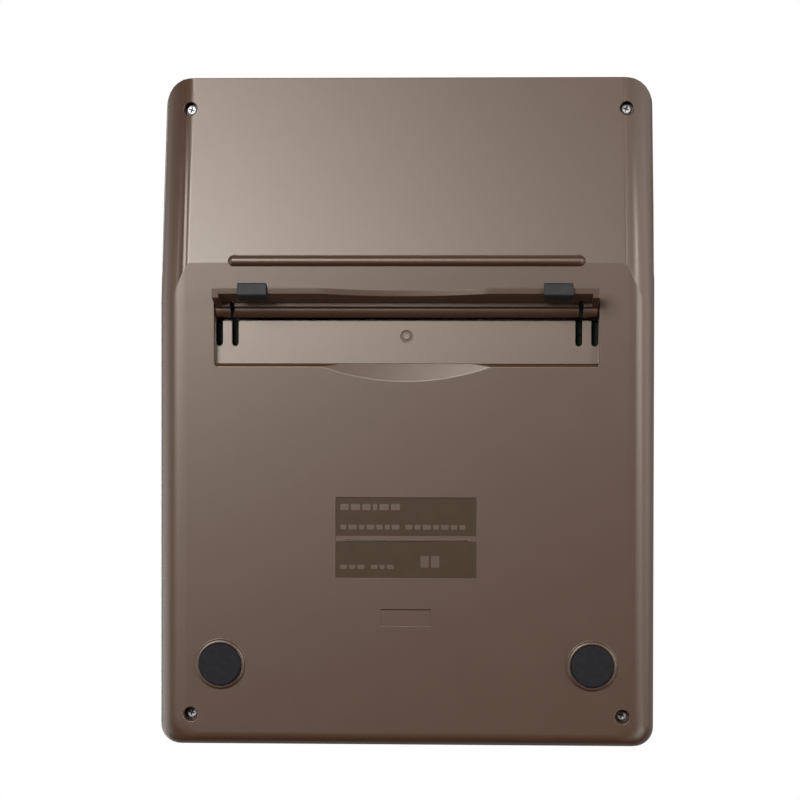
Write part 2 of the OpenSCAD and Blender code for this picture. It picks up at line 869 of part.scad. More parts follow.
module front_foot(cx) {
    translate([cx, foot_y, 0]) rotate_extrude($fn = 64) polygon(concat(
        [[0, 0.2], [0, -foot_drop]],
        [for (a = [270:15:360]) [foot_d / 2 - foot_r + foot_r * cos(a),
            foot_r - foot_drop + foot_r * sin(a)]],
        [[foot_d / 2, 0.2]]));
}

module front_foot_left() on_desk() color("#232326") front_foot(-foot_x);
module front_foot_right() on_desk() color("#232326") front_foot(foot_x);

// Four pan-head screws, each with a cross recess
module case_screws() on_desk() color("#d0d2d4") {
    for (side = [-1, 1], rise = [0, rear_rise]) {
        at_screw(side, rise) translate([0, 0, well_depth]) difference() {
            union() {
                translate([0, 0, -1.2]) cylinder(d1 = head_d - 0.7, d2 = head_d, h = 0.4, $fn = 48);
                translate([0, 0, -0.8]) cylinder(d = head_d, h = 0.8, $fn = 48);
                translate([0, 0, -0.1]) cylinder(d = shank_d, h = shank_l, $fn = 32);
            }
            for (a = [0, 90]) {
                rotate([0, 0, a + 20]) translate([-0.85, -0.2, -1.5]) cube([1.7, 0.4, 1.1]);
            }
        }
    }
}

rear_case();
front_case();
face_plate();
display_window();
lcd_panel();
lcd_frame();
display_ribbon();
solar_window();
solar_cell();
solar_leads();
keypad_membrane();
main_board();
chip_blob();
board_capacitors();
board_resistors();
button_cell();
cell_holder();
cell_contact_plus();
cell_contact_minus();
board_screws();
decimal_knob();
decimal_wiper();
rounding_knob();
rounding_wiper();
kickstand();
stand_shoe_left();
stand_shoe_right();
front_foot_left();
front_foot_right();
case_screws();
for (k = KEYS) {
    key(k);
}
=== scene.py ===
"""Looks of a desk calculator that stands on its two front feet and its open kickstand."""

import json
import math

import bmesh
import bpy
from mathutils import Matrix, Vector


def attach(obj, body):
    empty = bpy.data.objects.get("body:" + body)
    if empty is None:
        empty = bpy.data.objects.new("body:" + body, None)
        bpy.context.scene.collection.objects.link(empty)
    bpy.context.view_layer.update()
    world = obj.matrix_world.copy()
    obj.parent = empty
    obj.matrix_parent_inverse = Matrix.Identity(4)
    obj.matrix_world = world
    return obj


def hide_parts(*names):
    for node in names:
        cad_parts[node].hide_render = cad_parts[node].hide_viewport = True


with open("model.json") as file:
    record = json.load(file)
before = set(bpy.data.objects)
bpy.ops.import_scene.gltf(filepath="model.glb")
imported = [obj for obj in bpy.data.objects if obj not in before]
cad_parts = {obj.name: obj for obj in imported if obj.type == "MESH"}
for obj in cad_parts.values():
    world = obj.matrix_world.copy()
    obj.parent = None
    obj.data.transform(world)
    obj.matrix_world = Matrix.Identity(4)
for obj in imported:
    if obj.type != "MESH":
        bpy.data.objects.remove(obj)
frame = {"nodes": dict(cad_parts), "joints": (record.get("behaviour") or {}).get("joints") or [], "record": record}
nodes = frame["nodes"]
joints = {j["name"]: j for j in frame["joints"]}
body_of = {n: b for b, members in frame["record"]["behaviour"]["bodies"].items() for n in members}
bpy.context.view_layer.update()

MM = 0.001

# ---- The calculator's own frame: +X right, +Y to the display, +Z out of the keys, in mm ----

HINGE_Y, HINGE_Z = 30.6, 3.0
STAND_TRAVEL = 104
DECK = 16.0
HEAD_Y, HEAD_Z, HEAD_TILT = 45.5, 20.0, 20.0

press = Vector(joints["key_5_press"]["axis"]).normalized()
lean = Matrix.Rotation(math.atan2(press.y, -press.z), 4, "X")
hinge = Vector(joints["stand_hinge"]["pos_m"])
OWN = Matrix.Translation(hinge - lean @ Vector((0, HINGE_Y * MM, HINGE_Z * MM))) @ lean @ Matrix.Scale(MM, 4)
HEAD = OWN @ Matrix.Translation((0, HEAD_Y, HEAD_Z)) @ Matrix.Rotation(math.radians(HEAD_TILT), 4, "X")
OPEN = (OWN @ Matrix.Translation((0, HINGE_Y, HINGE_Z)) @ Matrix.Rotation(math.radians(STAND_TRAVEL), 4, "X")
        @ Matrix.Translation((0, -HINGE_Y, -HINGE_Z)))
TO_OWN, FOLDED = OWN.inverted(), OPEN.inverted()


def own(x, y, z):
    """World place of a point given in the calculator's own frame."""
    return OWN @ Vector((x, y, z))


# ---- Materials ----

class Paint:
    """A material whose nodes are added and joined by short calls."""

    def __init__(self, name, **sockets):
        self.material = bpy.data.materials.new(name)
        self.material.use_nodes = True
        self.tree = self.material.node_tree
        self.shader = self.tree.nodes["Principled BSDF"]
        self.place = self.tree.nodes.new("ShaderNodeTexCoord").outputs["Object"]
        for socket, value in sockets.items():
            self.shader.inputs[socket.replace("_", " ")].default_value = value

    def add(self, kind, **settings):
        """New shader node of that kind, with those settings."""
        node = self.tree.nodes.new("ShaderNode" + kind)
        for name, value in settings.items():
            setattr(node, name, value)
        return node

    def join(self, source, target):
        self.tree.links.new(source, target)

    def stretched(self, scale):
        """The object's own place, scaled along each axis, for a noise that runs one way."""
        node = self.add("Mapping")
        self.join(self.place, node.inputs["Vector"])
        node.inputs["Scale"].default_value = scale
        return node.outputs["Vector"]

    def noise(self, size_mm, detail=3, rough=0.5, where=None):
        """Soft noise from 0 to 1, with features of about that size."""
        node = self.add("TexNoise")
        self.join(where or self.place, node.inputs["Vector"])
        node.inputs["Scale"].default_value = 1 / (size_mm * MM)
        node.inputs["Detail"].default_value = detail
        node.inputs["Roughness"].default_value = rough
        return node.outputs["Fac"]

    def ramp(self, value, *stops):
        """Colour ramp; each stop is (position, colour or grey)."""
        node = self.add("ValToRGB")
        self.join(value, node.inputs["Fac"])
        points = node.color_ramp.elements
        while len(points) < len(stops):
            points.new(1)
        for point, (position, colour) in zip(points, stops):
            point.position = position
            point.color = (*((colour,) * 3 if isinstance(colour, (int, float)) else colour), 1)
        return node.outputs["Color"]

    def math(self, operation, a, b):
        """Result of a sum on two values, each a number or a socket."""
        node = self.add("Math", operation=operation)
        for socket, value in zip(node.inputs, (a, b)):
            if isinstance(value, (int, float)):
                socket.default_value = value
            else:
                self.join(value, socket)
        return node.outputs["Value"]

    def blend(self, a, b, share):
        """Colour a passing into b as the share goes from 0 to 1; each may be a number, a colour or a socket."""
        node = self.add("Mix", data_type="RGBA")
        for socket, value in ((node.inputs[0], share), (node.inputs[6], a), (node.inputs[7], b)):
            if isinstance(value, (int, float)):
                socket.default_value = value
            elif isinstance(value, tuple):
                socket.default_value = (*value, 1)
            else:
                self.join(value, socket)
        return node.outputs[2]

    def uprightness(self):
        """1 on sides that stand upright, 0 on faces that look up or down."""
        split = self.add("SeparateXYZ")
        self.join(self.place.node.outputs["Normal"], split.inputs[0])
        return self.ramp(self.math("ABSOLUTE", split.outputs["Z"], 0), (0.42, 1), (0.62, 0))

    def colour(self, value):
        self.join(value, self.shader.inputs["Base Color"])

    def roughness(self, value):
        self.join(value, self.shader.inputs["Roughness"])

    def bump(self, height, depth_mm):
        """Relief of that depth where the height goes from 0 to 1."""
        node = self.add("Bump")
        node.inputs["Strength"].default_value = 1
        node.inputs["Distance"].default_value = depth_mm * MM
        self.join(height, node.inputs["Height"])
        self.join(node.outputs["Normal"], self.shader.inputs["Normal"])


def mixed(name, low, high, size_mm, rough, depth_mm=0.01, grain_mm=0.3, flank=None, **sockets):
    """Moulded or painted surface: two close colours, uneven gloss and a fine grain.

    With flank, a roughness, the sides that stand upright are as dull as that.
    """
    paint = Paint(name, **sockets)
    paint.colour(paint.ramp(paint.noise(size_mm, 4), (0.3, low), (0.7, high)))
    gloss = paint.ramp(paint.noise(size_mm * 2.2, 3), (0.25, rough[0]), (0.75, rough[1]))
    paint.roughness(paint.blend(gloss, (flank,) * 3, paint.uprightness()) if flank else gloss)
    paint.bump(paint.noise(grain_mm, 2), depth_mm)
    return paint.material


satin = dict(IOR=1.53, Specular_IOR_Level=1.0, Specular_Tint=(1, 0.945, 0.85, 1))
case_paint = mixed("case_paint", (0.0465, 0.0175, 0.0070), (0.0495, 0.0190, 0.0078), 4, (0.39, 0.405),
                   depth_mm=0.006, grain_mm=0.35, flank=0.75, **satin)
label_paint = mixed("label_paint", (0.041, 0.0250, 0.0125), (0.047, 0.0290, 0.0150), 3, (0.36, 0.40),
                    depth_mm=0.003, grain_mm=0.4, IOR=1.5, Specular_IOR_Level=0.25)
stand_paint = mixed("stand_paint", (0.0425, 0.0160, 0.0065), (0.0455, 0.0175, 0.0073), 4, (0.38, 0.40),
                    depth_mm=0.006, grain_mm=0.35, **satin)
black_rubber = mixed("black_rubber", (0.009, 0.009, 0.011), (0.013, 0.013, 0.016), 1.5, (0.6, 0.72),
                     depth_mm=0.02, grain_mm=0.22, Specular_IOR_Level=0.12)
grey_rubber = mixed("grey_rubber", (0.012, 0.012, 0.013), (0.017, 0.017, 0.019), 1.5, (0.5, 0.62),
                    depth_mm=0.02, grain_mm=0.22, Specular_IOR_Level=0.25)
screw_steel = mixed("screw_steel", (0.66, 0.66, 0.67), (0.76, 0.76, 0.77), 0.6, (0.3, 0.42),
                    depth_mm=0.006, grain_mm=0.12, Metallic=0.3)
key_light = mixed("key_light_plastic", (0.76, 0.71, 0.61), (0.80, 0.75, 0.66), 3, (0.34, 0.44),
                  depth_mm=0.012, grain_mm=0.4, Subsurface_Weight=0.05)
key_dark = mixed("key_dark_plastic", (0.105, 0.075, 0.056), (0.122, 0.088, 0.067), 3, (0.34, 0.44),
                 depth_mm=0.012, grain_mm=0.4)
key_accent = mixed("key_accent_plastic", (0.44, 0.105, 0.035), (0.49, 0.125, 0.045), 3, (0.34, 0.44),
                   depth_mm=0.012, grain_mm=0.4)
light_ink = mixed("light_ink", (0.78, 0.74, 0.66), (0.84, 0.80, 0.72), 1.2, (0.45, 0.6),
                  depth_mm=0.004, grain_mm=0.15)
dark_ink = mixed("dark_ink", (0.040, 0.026, 0.018), (0.055, 0.038, 0.028), 1.2, (0.45, 0.6),
                 depth_mm=0.004, grain_mm=0.15)
# Dark plastic of the knobs, masks, frame and holder; also laid in the screw heads as painted shade of their cross
# recesses
dark_plastic = mixed("dark_plastic", (0.022, 0.020, 0.019), (0.032, 0.029, 0.027), 2, (0.38, 0.5),
                     depth_mm=0.01, grain_mm=0.3)
lcd_ink = mixed("lcd_ink", (0.018, 0.022, 0.022), (0.026, 0.030, 0.029), 1, (0.3, 0.4),
                depth_mm=0.001, grain_mm=0.2)
lcd_ghost = mixed("lcd_ghost", (0.345, 0.385, 0.300), (0.360, 0.400, 0.312), 2, (0.3, 0.4),
                  depth_mm=0.001, grain_mm=0.2)
lcd_glass = mixed("lcd_glass", (0.385, 0.430, 0.335), (0.405, 0.452, 0.352), 9, (0.16, 0.22),
                  depth_mm=0.001, grain_mm=0.2)
ribbon_film = mixed("ribbon_film", (0.50, 0.20, 0.05), (0.58, 0.25, 0.07), 2, (0.3, 0.4), depth_mm=0.004)
wire_cover = mixed("wire_cover", (0.42, 0.04, 0.03), (0.50, 0.06, 0.04), 1, (0.35, 0.45), depth_mm=0.004)
silicone = mixed("silicone", (0.62, 0.60, 0.55), (0.68, 0.66, 0.61), 3, (0.5, 0.62), Subsurface_Weight=0.1)
epoxy = mixed("epoxy", (0.010, 0.010, 0.011), (0.018, 0.018, 0.019), 1, (0.18, 0.3), depth_mm=0.01)
ceramic = mixed("ceramic", (0.46, 0.36, 0.20), (0.54, 0.43, 0.26), 0.7, (0.4, 0.5))
contact_metal = mixed("contact_metal", (0.70, 0.50, 0.22), (0.78, 0.58, 0.28), 1, (0.22, 0.34),
                      depth_mm=0.004, Metallic=1.0)
cell_steel = mixed("cell_steel", (0.66, 0.67, 0.68), (0.74, 0.75, 0.76), 1, (0.2, 0.3),
                   depth_mm=0.004, Metallic=1.0)


def board_lacquer():
    """Green lacquer over copper tracks that run lengthwise, kept nearly black: partly the lacquer's own dark
    green, partly painted shade for the board seen through the slots of the case.
    """
    paint = Paint("board_lacquer", Specular_IOR_Level=0.2)
    tracks = paint.add("TexWave", wave_type="BANDS", bands_direction="X")
    paint.join(paint.place, tracks.inputs["Vector"])
    tracks.inputs["Scale"].default_value = 110
    tracks.inputs["Distortion"].default_value = 1.4
    tracks.inputs["Detail"].default_value = 1
    # Both greens are nearly black, partly as painted shade for the view through the case's slots
    green, pale_green = (0.003, 0.009, 0.005), (0.005, 0.015, 0.008)
    paint.colour(paint.ramp(tracks.outputs["Fac"], (0.45, green), (0.55, pale_green)))
    paint.roughness(paint.ramp(paint.noise(3), (0.3, 0.25), (0.7, 0.38)))
    paint.bump(tracks.outputs["Fac"], 0.03)
    return paint.material


def brushed(name, low, high):
    """Anodised sheet, brushed along its width."""
    paint = Paint(name, Metallic=0.9, Anisotropic=0.5)
    lines = paint.noise(0.25, 4, 0.6, paint.stretched((0.02, 1, 1)))
    clouds = paint.noise(14, 2)
    shade = paint.math("ADD", paint.math("MULTIPLY", lines, 0.7), paint.math("MULTIPLY", clouds, 0.3))
    paint.colour(paint.ramp(shade, (0.35, low), (0.65, high)))
    paint.roughness(paint.ramp(lines, (0.3, 0.26), (0.7, 0.40)))
    paint.bump(lines, 0.006)
    return paint.material


def solar_film():
    """Amorphous silicon: dark violet strips parted by fine pale lines."""
    paint = Paint("solar_film", Coat_Weight=0.6)
    split = paint.add("SeparateXYZ")
    paint.join(paint.place, split.inputs[0])
    strip = paint.math("FRACT", paint.math("MULTIPLY", split.outputs["X"], 1 / (9.5 * MM)), 0)
    gap = paint.math("LESS_THAN", paint.math("ABSOLUTE", paint.math("SUBTRACT", strip, 0.21), 0), 0.03)
    film = paint.ramp(paint.noise(5, 3), (0.3, (0.030, 0.014, 0.030)), (0.7, (0.046, 0.022, 0.044)))
    paint.colour(paint.blend(film, (0.34, 0.30, 0.34), gap))
    paint.roughness(paint.ramp(paint.noise(2), (0.3, 0.24), (0.7, 0.34)))
    return paint.material


def clear_plastic(name, tint):
    """Hard clear plastic with faint unevenness."""
    paint = Paint(name, Transmission_Weight=1.0, IOR=1.49)
    paint.colour(paint.ramp(paint.noise(20, 2), (0.3, tint), (0.7, tuple(min(1, c * 1.03) for c in tint))))
    paint.roughness(paint.ramp(paint.noise(12, 2), (0.3, 0.02), (0.7, 0.05)))
    return paint.material


face_metal = brushed("face_metal", (0.50, 0.405, 0.285), (0.62, 0.51, 0.375))
window_clear = clear_plastic("window_clear", (0.90, 0.92, 0.91))
solar_clear = clear_plastic("solar_clear", (0.78, 0.70, 0.74))
board_paint = board_lacquer()
solar_paint = solar_film()


# ---- Meshes ----

def linked(name, mesh, material, body):
    """Object made of that mesh, with that material unless it has one, riding on a body."""
    piece = bpy.data.objects.new(name, mesh)
    bpy.context.scene.collection.objects.link(piece)
    if not mesh.materials:
        mesh.materials.append(material)
    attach(piece, body)
    return piece


def smoothed(bm, outward=True):
    """Marks every face as smooth and, unless told not to, turns them all outward."""
    if outward:
        bmesh.ops.recalc_face_normals(bm, faces=bm.faces)
    for face in bm.faces:
        face.smooth = True


def banded(bm, low, high):
    """Joins two loops of the same number of vertices by a closed band of faces."""
    for i in range(len(low)):
        k = (i + 1) % len(low)
        bm.faces.new((low[i], low[k], high[k], high[i]))


def stored(name, bm, smooth_under=30):
    """Turns a bmesh into a mesh that is smooth, except across edges sharper than that many degrees."""
    smoothed(bm)
    for edge in bm.edges:
        edge.smooth = edge.calc_face_angle(math.pi) < math.radians(smooth_under)
    mesh = bpy.data.meshes.new(name)
    bm.to_mesh(mesh)
    bm.free()
    return mesh


# Where the edges of the underside lie that get their own treatment: its crease, the fingertip dish, the foot
# collars and the floor of the stand recess
CREASE_FROM, CREASE_TO, BAR_END, CREASE_TOP = 36, 46.5, 54.2, 8.5
DISH_X, DISH_FROM, RIM_TO, LIP_FROM, DISH_TO = 35, 8, 13.2, 13.3, 14.35
FOOT_X, FOOT_Y, COLLAR_R, COLLAR_FACE = 56.5, -77.3, 7.5, -1.15
RECESS_FLOOR, FLOOR_LEAN = 3.4, 5


def ends_of(edge):
    """Both ends, the middle and the direction of an edge, in the calculator's own frame."""
    a, b = (TO_OWN @ v.co for v in edge.verts)
    return a, b, (a + b) / 2, (b - a).normalized()


def on_crease(edge):
    """True for the edges where the underside starts to slope up, on both sides of the bar."""
    _, _, middle, run = ends_of(edge)
    beside_bar = CREASE_FROM < middle.y < CREASE_TO and abs(middle.x) > BAR_END
    return beside_bar and middle.z < CREASE_TOP and abs(run.y) < 0.85


def on_dish_rim(edge):
    """True where the fingertip dish meets the flat of the underside and the lip of the recess."""
    a, b, middle, run = ends_of(edge)
    if abs(middle.x) > DISH_X or not DISH_FROM < middle.y < DISH_TO:
        return False
    on_rim = middle.y < RIM_TO and max(abs(a.z), abs(b.z)) < 0.05
    on_lip = middle.y > LIP_FROM and abs(run.x) < 0.9995
    return on_rim or on_lip


def on_collar(edge):
    """True for the outer rim of the raised collars round the front feet."""
    a, b, _, _ = ends_of(edge)
    off_rim = math.hypot(abs(a.x) - FOOT_X, a.y - FOOT_Y) - COLLAR_R
    return a.z < COLLAR_FACE and b.z < COLLAR_FACE and abs(off_rim) < 0.1


def on_recess_floor(part):
    """Whether this edge or face of the rear case lies on the floor of the stand recess."""
    return all(abs((TO_OWN @ v.co).z - RECESS_FLOOR) < 0.01 for v in part.verts)


def shaded(mesh, bm, lean_floor=False):
    """Smooth shading in which each flat area keeps its own direction right up to its rim."""
    bm.normal_update()
    flat_of, flats = {}, []
    for start in bm.faces:
        if start in flat_of:
            continue
        flat_of[start] = len(flats)
        total, todo = Vector(), [start]
        while todo:
            face = todo.pop()
            total += face.normal * face.calc_area()
            for edge in face.edges:
                for other in edge.link_faces:
                    if other not in flat_of and face.normal.dot(other.normal) > 0.99999:
                        flat_of[other] = len(flats)
                        todo.append(other)
        if lean_floor and on_recess_floor(start):
            total = Matrix.Rotation(math.radians(FLOOR_LEAN), 3, "X") @ total
        flats.append(total)
    directions = []
    for vertex in bm.verts:
        touched = {flat_of[face] for face in vertex.link_faces}
        total = sum((flats[k] * flats[k].length for k in touched), Vector())
        directions.append(total.normalized() if total.length > 0 else vertex.normal.copy())
    bm.to_mesh(mesh)
    mesh.normals_split_custom_set_from_vertices(directions)


# The stand's free edge, its arch and the slope of the cut along it
END_Y, ARCH, END_LEAN, OUTER_FACE = HINGE_Y - 14.7, 3.2, 0.337, 0.15


def end_cut(point):
    """Where a point of the stand goes when its free edge is cut parallel to the desk, not square."""
    local = FOLDED @ point
    if local.y < END_Y + ARCH and local.z > OUTER_FACE + 0.05:
        local.y += (local.z - OUTER_FACE) * END_LEAN
    return OPEN @ local


# Edges by how many degrees they turn: rounded on every piece, rounded on the crease and the dish, and left out as
# flat. Then how far, in mm, and in how many steps the collars are rounded.
SHARP, FAINT, FLAT = 32, 3, 0.5
COLLAR_ROUND, COLLAR_STEPS = 0.6, 5


def rounded_over(bm, edges, width, steps, **more):
    """Rounds those edges over, by a width in mm."""
    bmesh.ops.bevel(bm, geom=edges, offset=width * MM, offset_type="OFFSET", segments=steps, profile=0.5,
                    affect="EDGES", clamp_overlap=False, loop_slide=True, **more)


def softened(node, name, material, width=0.25, steps=2):
    """Piece that stands for a CAD node: the same shape with its edges rounded over."""
    underside = node == "rear_case"
    source = nodes[node].data
    mesh = bpy.data.meshes.new(name)
    mesh.from_pydata([v.co for v in source.vertices], [], [tuple(p.vertices) for p in source.polygons])
    bm = bmesh.new()
    bm.from_mesh(mesh)
    bmesh.ops.remove_doubles(bm, verts=bm.verts, dist=2e-6)
    if node == "kickstand":
        for vertex in bm.verts:
            vertex.co = end_cut(vertex.co)
    joined = [e for e in bm.edges if not (underside and on_recess_floor(e))]
    bmesh.ops.dissolve_limit(bm, angle_limit=math.radians(FLAT), verts=[], edges=joined)
    sharp, collars = [], []
    for edge in bm.edges:
        turn = math.degrees(edge.calc_face_angle(0))
        if underside and on_recess_floor(edge):
            continue
        if underside and on_collar(edge):
            collars.append(edge)
        elif turn > SHARP or (underside and turn > FAINT and (on_crease(edge) or on_dish_rim(edge))):
            sharp.append(edge)
    if collars:
        rounded_over(bm, collars, COLLAR_ROUND, COLLAR_STEPS)
    rounded_over(bm, [edge for edge in sharp if edge.is_valid], width, steps, miter_outer="SHARP")
    smoothed(bm, outward=False)
    shaded(mesh, bm, lean_floor=underside)
    bm.free()
    piece = linked(name, mesh, material, body_of[node])
    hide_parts(node)
    return piece


def rounded(w, l, r, steps=6):
    """Points of a rounded rectangle about the origin."""
    points = []
    for quarter, (sx, sy) in enumerate(((1, 1), (-1, 1), (-1, -1), (1, -1))):
        for i in range(steps + 1):
            a = math.pi / 2 * (quarter + i / steps)
            points.append((sx * (w / 2 - r) + r * math.cos(a), sy * (l / 2 - r) + r * math.sin(a)))
    return points


def lofted(name, rings, place, even=False):
    """Closed solid through rings of the same number of points, moved by place; even keeps its flats flat."""
    bm = bmesh.new()
    loops = [[bm.verts.new(place @ Vector(p)) for p in ring] for ring in rings]
    for low, high in zip(loops, loops[1:]):
        banded(bm, low, high)
    bm.faces.new(list(reversed(loops[0])))
    bm.faces.new(loops[-1])
    if not even:
        return stored(name, bm)
    smoothed(bm)
    mesh = bpy.data.meshes.new(name)
    shaded(mesh, bm)
    bm.free()
    return mesh


def slabbed(name, outline, z0, z1, place, edge=0.15):
    """Flat piece with softened rims, from an outline of (x, y) points."""
    cx = sum(x for x, _ in outline) / len(outline)
    cy = sum(y for _, y in outline) / len(outline)

    def ring(a, z, way):
        d = edge * (1 - math.cos(a))
        height = z + way * edge * (1 - math.sin(a))
        return [(x - d * (1 if x > cx else -1), y - d * (1 if y > cy else -1), height) for x, y in outline]

    turns = (math.pi / 2, math.pi / 4, 0)
    rings = [ring(a, z0, 1) for a in turns] + [ring(a, z1, -1) for a in reversed(turns)]
    return lofted(name, rings, place, even=True)


# ---- Case, stand, feet and screws ----

softened("rear_case", "rear_case_skin", case_paint, 0.22)
softened("front_case", "front_case_skin", case_paint, 0.22)
softened("kickstand", "kickstand_skin", stand_paint, 0.2)
for side in ("left", "right"):
    softened("stand_shoe_" + side, "stand_shoe_skin_" + side, grey_rubber, 0.3, 3)
    softened("front_foot_" + side, "front_foot_skin_" + side, black_rubber, 0.3, 3)
softened("case_screws", "case_screw_heads", screw_steel, 0.06)

# Painted shade inside the cross recess of each screw head: two thin dark slabs on the head stand for its shaded
# slots. Where the heads are, then the size of its two slots
SCREWS = [(side * x, y, z) for side in (-1, 1) for x, y, z in ((65.7, -92.8, 4.3), (67.2, 92.8, 15.5))]
SLOT_L, SLOT_W = 1.75, 0.45
for i, (x, y, z) in enumerate(SCREWS):
    for k, angle in enumerate((20, 110)):
        name = f"screw_{i}_slot_{k}"
        place = OWN @ Matrix.Translation((x, y, 0)) @ Matrix.Rotation(math.radians(angle), 4, "Z")
        mesh = slabbed(name, rounded(SLOT_L, SLOT_W, 0.1, 3), z - 0.02, z + 0.15, place, 0.03)
        linked(name, mesh, dark_plastic, "root")

# Darker, smoother floor of the sunken label, in two halves, with rows of plain raised dashes on it.
# A row is its height up the label, the length of its dashes along it, where it starts, and the dash widths.
LABEL_Y, LABEL_W, LABEL_L, LABEL_FLOOR = -38.7, 42.7, 24.3, 0.3
LABEL_LINE_Y, DASH_GAP = 1.1, 0.6
LABEL_ROWS = (
    (9.3, 2.0, -20, (2.6, 2.9, 2.6, 1.4, 2.9, 2.8)),
    (3.2, 1.5, -20, (1.9, 2.6, 1.7, 2.4, 2.0, 1.5, 2.4)),
    (3.2, 1.5, -0.2, (2.2, 1.9, 2.6, 1.7, 2.4, 2.0, 1.9)),
    (-8.9, 1.3, -20, (2.1, 1.9, 2.3)),
    (-8.9, 1.3, -10.6, (2.0, 1.6, 2.1)),
    (-7.3, 3.6, 4.4, (2.6, 2.6)),
)


def label_piece(name, x, y, w, l, r, z0, z1, material):
    """Flat piece on the label, centred that far from the label's middle."""
    place = OWN @ Matrix.Translation((-x, LABEL_Y + y, 0))
    linked(name, slabbed(name, rounded(w, l, r, 4), z0, z1, place, 0.06), material, "root")


for name, top, bottom in (("label_floor_rear", LABEL_L / 2, LABEL_LINE_Y - 0.5),
                          ("label_floor_front", -LABEL_LINE_Y + 0.15, -LABEL_L / 2)):
    label_piece(name, 0, (top + bottom) / 2, LABEL_W - 0.1, top - bottom - 0.1, 0.3,
                0.16, LABEL_FLOOR + 0.2, label_paint)
for row, (y, tall, x, widths) in enumerate(LABEL_ROWS):
    for i, w in enumerate(widths):
        label_piece(f"label_dash_{row}_{i}", x + w / 2, y, w, tall, 0.35, 0.03, LABEL_FLOOR, case_paint)
        x += w + DASH_GAP


# ---- Key caps and their legends ----

# All but the pitch are measured on the cap: heights run up from the deck, and the flange is below it
CAP_W, CAP_L, PITCH_Y, CAP_TOP, DISH = 18.6, 17.6, 22.4, 5.4, 0.4
FLANGE, FLANGE_LOW, FLANGE_TOP = 0.6, -2.9, -2.2
SKIRT_TOP, LEAN_IN, SHOULDER_Z, SHOULDER = 1.2, 1.05, 4.5, 0.9
CORNER, CORNER_TOP, TOP_INSET, TOP_CORNER = 1.3, 1.8, 3.9, 1.7

KEYS = {
    "key_grand_total": "GT", "key_memory_clear": "MC", "key_memory_recall": "MR",
    "key_memory_minus": "M\u2212", "key_memory_plus": "M+", "key_square_root": "\u221a",
    "key_mark_up": "MU", "key_backspace": "\u2192", "key_percent": "%", "key_sign": "+/\u2212",
    "key_times": "\u00d7", "key_divide": "\u00f7", "key_minus": "\u2212", "key_plus": "+",
    "key_equals": "=", "key_clear": "C", "key_all_clear": "AC", "key_point": ".", "key_00": "00",
    **{f"key_{i}": str(i) for i in range(10)},
}


def key_kind(key):
    """Paint, slot and ink of a key."""
    if key in ("key_clear", "key_all_clear"):
        return key_accent, "key_accent", light_ink
    if key[4:].isdigit() or key == "key_point":
        return key_light, "key_light", dark_ink
    return key_dark, "key_dark", light_ink


def cap_place(key):
    """The cap's centre on the deck, and its span along the calculator, in mm."""
    corners = [TO_OWN @ v.co for v in nodes[key].data.vertices]
    x0, x1 = min(c.x for c in corners), max(c.x for c in corners)
    y0, y1 = min(c.y for c in corners), max(c.y for c in corners)
    span = CAP_L + (PITCH_Y if y1 - y0 > CAP_L + 5 else 0)
    return OWN @ Matrix.Translation(((x0 + x1) / 2, (y0 + y1) / 2, DECK)), span


def dished(share):
    """Height of a cap's top at that share of the way from its middle to its rim."""
    return CAP_TOP - 0.01 - DISH * (1 - share ** 2)


def cap_mesh(name, place, span):
    """Cap with a flange under the deck, leaning sides, rounded shoulders and a dished top."""
    def ring(inset, z, r):
        return [(x, y, z) for x, y in rounded(CAP_W - 2 * inset, span - 2 * inset, r)]

    rings = [ring(-FLANGE, FLANGE_LOW, CORNER), ring(-FLANGE, FLANGE_TOP, CORNER)]
    rings += [ring(0, FLANGE_TOP, CORNER), ring(0, SKIRT_TOP, CORNER)]
    for t in (0.33, 0.67, 1):
        height = SKIRT_TOP + (SHOULDER_Z - SKIRT_TOP) * t
        rings.append(ring(LEAN_IN * t, height, CORNER + (CORNER_TOP - CORNER) * t))
    for a in map(math.radians, (20, 40, 60, 80)):
        inset = LEAN_IN + SHOULDER * (1 - math.cos(a))
        rings.append(ring(inset, SHOULDER_Z + SHOULDER * math.sin(a), CORNER_TOP))
    w, l = CAP_W - TOP_INSET, span - TOP_INSET
    for share in (1, 0.97, 0.9, 0.78, 0.62, 0.44, 0.26, 0.1):
        top = rounded(w * share, l * share, TOP_CORNER * share)
        rings.append([(x, y, dished(share)) for x, y in top])
    return lofted(name, rings, place)


def inked(name, text, size, place, height, material, body, bold=0.0):
    """Printed characters; height(x, y) is the surface under them, in the frame that place leaves from."""
    curve = bpy.data.curves.new(name, "FONT")
    curve.body, curve.size = text, size
    curve.align_x = curve.align_y = "CENTER"
    curve.extrude = 0.06
    curve.offset = bold
    curve.resolution_u = 5
    writing = bpy.data.objects.new(name + "_curve", curve)
    bpy.context.scene.collection.objects.link(writing)
    bpy.context.view_layer.update()
    mesh = bpy.data.meshes.new_from_object(writing.evaluated_get(bpy.context.evaluated_depsgraph_get()))
    bpy.data.objects.remove(writing)
    mesh.materials.clear()
    low, high = min(v.co.y for v in mesh.vertices), max(v.co.y for v in mesh.vertices)
    if text != ".":
        for v in mesh.vertices:
            v.co.y -= (low + high) / 2
    for v in mesh.vertices:
        v.co = place @ Vector((v.co.x, v.co.y, height(v.co.x, v.co.y) + v.co.z))
    mesh.name = name
    return linked(name, mesh, material, body)


